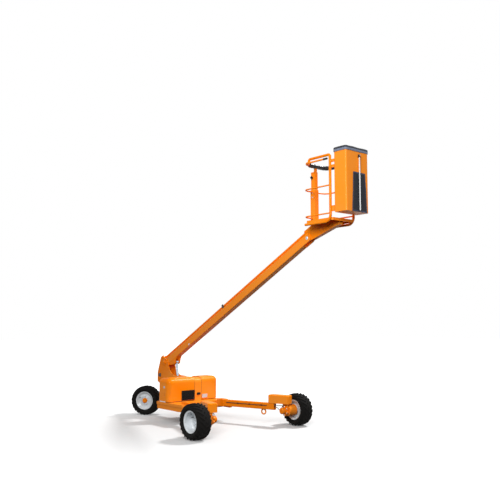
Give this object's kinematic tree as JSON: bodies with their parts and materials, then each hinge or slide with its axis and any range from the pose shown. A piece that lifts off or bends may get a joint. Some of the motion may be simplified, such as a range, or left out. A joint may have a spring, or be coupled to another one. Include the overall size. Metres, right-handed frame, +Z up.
{
  "type": "orchard work platform",
  "caption": "Self-propelled orchard work platform on wheels with splayed front legs, a levelled lifting boom, a picker's cage and a fruit bin.",
  "frame": {"origin": "on the ground under the middle of the outline at rest", "axes": "+X forward along the boom, +Y to the left, +Z up"},
  "size_m": [6.8236, 3.014, 5.2832],
  "materials": {
    "orange_paint": "glossy orange enamel on welded steel",
    "tyre_rubber": "matt black lugged rubber",
    "rim_white": "white enamel",
    "engine_casting": "cast engine grey",
    "black_plastic": "moulded, matt",
    "plate_grey": "bare grey plate",
    "zinc_steel": "zinc plated",
    "dark_steel": "dark brown-black paint",
    "chromed_steel": "ground and chromed",
    "black_vinyl": "padded sleeve, soft sheen",
    "black_rubber": "moulded grip",
    "grey_foam": "closed-cell foam edge",
    "navy_canvas": "coated canvas",
    "pale_rope": "twisted cord"
  },
  "bodies": {
    "chassis": {"main_frame": "orange_paint", "tower": "orange_paint", "lashing_rings": "orange_paint", "engine_block": "engine_casting", "hood_band": "orange_paint", "hood_latch": "black_plastic", "hood_hinges": "zinc_steel", "left_leg": "orange_paint", "right_leg": "orange_paint", "left_leg_box": "orange_paint", "right_leg_box": "orange_paint", "left_wheel_motor": "orange_paint", "right_wheel_motor": "orange_paint"},
    "engine_lid": {"engine_hood": "orange_paint", "radiator_grille": "black_plastic"},
    "tank_lid": {"tank_hood": "orange_paint", "blank_plate": "plate_grey"},
    "rear_steer": {"rear_knuckle": "orange_paint", "rear_wheel_motor": "orange_paint"},
    "rear_wheel": {"rear_rim": "rim_white", "rear_tyre": "tyre_rubber", "rear_hub_cap": "orange_paint"},
    "left_wheel": {"left_rim": "rim_white", "left_tyre": "tyre_rubber"},
    "right_wheel": {"right_rim": "rim_white", "right_tyre": "tyre_rubber"},
    "boom": {"boom_tube": "orange_paint", "boom_root": "orange_paint", "boom_tip": "orange_paint", "tip_covers": "zinc_steel", "tie_guide": "dark_steel"},
    "levelling_tie": {"tie_rod": "orange_paint"},
    "lift_barrel": {"lift_barrel": "orange_paint"},
    "lift_rod": {"lift_rod": "chromed_steel"},
    "platform": {"platform_bracket": "orange_paint", "platform_floor": "orange_paint", "platform_mast": "orange_paint", "rear_top_rail": "orange_paint", "left_cage_frame": "orange_paint", "right_cage_frame": "orange_paint", "cage_rails": "orange_paint", "back_rest": "black_vinyl", "hand_bar": "orange_paint", "hand_grip": "black_rubber", "fruit_bin": "orange_paint", "bin_rim_pad": "grey_foam", "chute_flap": "navy_canvas", "rope_cleats": "dark_steel", "chute_rope": "pale_rope", "bin_brackets": "orange_paint", "mast_knob": "black_plastic"}
  },
  "joints": [
    {"name": "boom_lift", "type": "hinge", "parent": "chassis", "child": "boom", "pos_m": [-2.54571, 0, 1.24686], "axis": [0, -1, 0], "range_deg": [-36, 34]},
    {"name": "tie_swing", "type": "hinge", "parent": "chassis", "child": "levelling_tie", "pos_m": [-2.61071, 0, 1.36859], "axis": [0, -1, 0], "range_deg": [-36, 34]},
    {"name": "platform_level", "type": "hinge", "parent": "boom", "child": "platform", "pos_m": [2.18955, 0, 3.77525], "axis": [0, -1, 0], "range_deg": [-34, 36]},
    {"name": "barrel_swing", "type": "hinge", "parent": "chassis", "child": "lift_barrel", "pos_m": [-2.01571, 0, 0.21786], "axis": [0, -1, 0], "range_deg": [-1.7, 1.7]},
    {"name": "rod_slide", "type": "slide", "parent": "lift_barrel", "child": "lift_rod", "axis": [-0.1585, 0, 0.9874], "range_m": [-0.2163, 0.2043]},
    {"name": "rear_steering", "type": "hinge", "parent": "chassis", "child": "rear_steer", "pos_m": [-2.66071, 0, 0.42286], "axis": [0, 0, 1], "range_deg": [-105, 35]},
    {"name": "rear_wheel_spin", "type": "hinge", "parent": "rear_steer", "child": "rear_wheel", "pos_m": [-3.04571, -0.26958, 0.34286], "axis": [-0.5736, 0.8192, 0], "continuous": true},
    {"name": "left_wheel_spin", "type": "hinge", "parent": "chassis", "child": "left_wheel", "pos_m": [0.45429, 1.347, 0.34286], "axis": [0, 1, 0], "continuous": true},
    {"name": "right_wheel_spin", "type": "hinge", "parent": "chassis", "child": "right_wheel", "pos_m": [0.45429, -1.347, 0.34286], "axis": [0, 1, 0], "continuous": true},
    {"name": "engine_lid_open", "type": "hinge", "parent": "chassis", "child": "engine_lid", "pos_m": [-1.91071, -0.682, 0.46586], "axis": [1, 0, 0], "range_deg": [0, 75]},
    {"name": "tank_lid_open", "type": "hinge", "parent": "chassis", "child": "tank_lid", "pos_m": [-1.91071, 0.682, 0.46586], "axis": [-1, 0, 0], "range_deg": [0, 75]}
  ],
  "couplings": [
    {"joint": "tie_swing", "follows": "boom_lift", "ratio": 1},
    {"joint": "platform_level", "follows": "boom_lift", "ratio": -1},
    {"joint": "barrel_swing", "follows": "boom_lift", "ratio": -0.0467},
    {"joint": "rod_slide", "follows": "boom_lift", "m_per_rad": 0.3441}
  ]
}
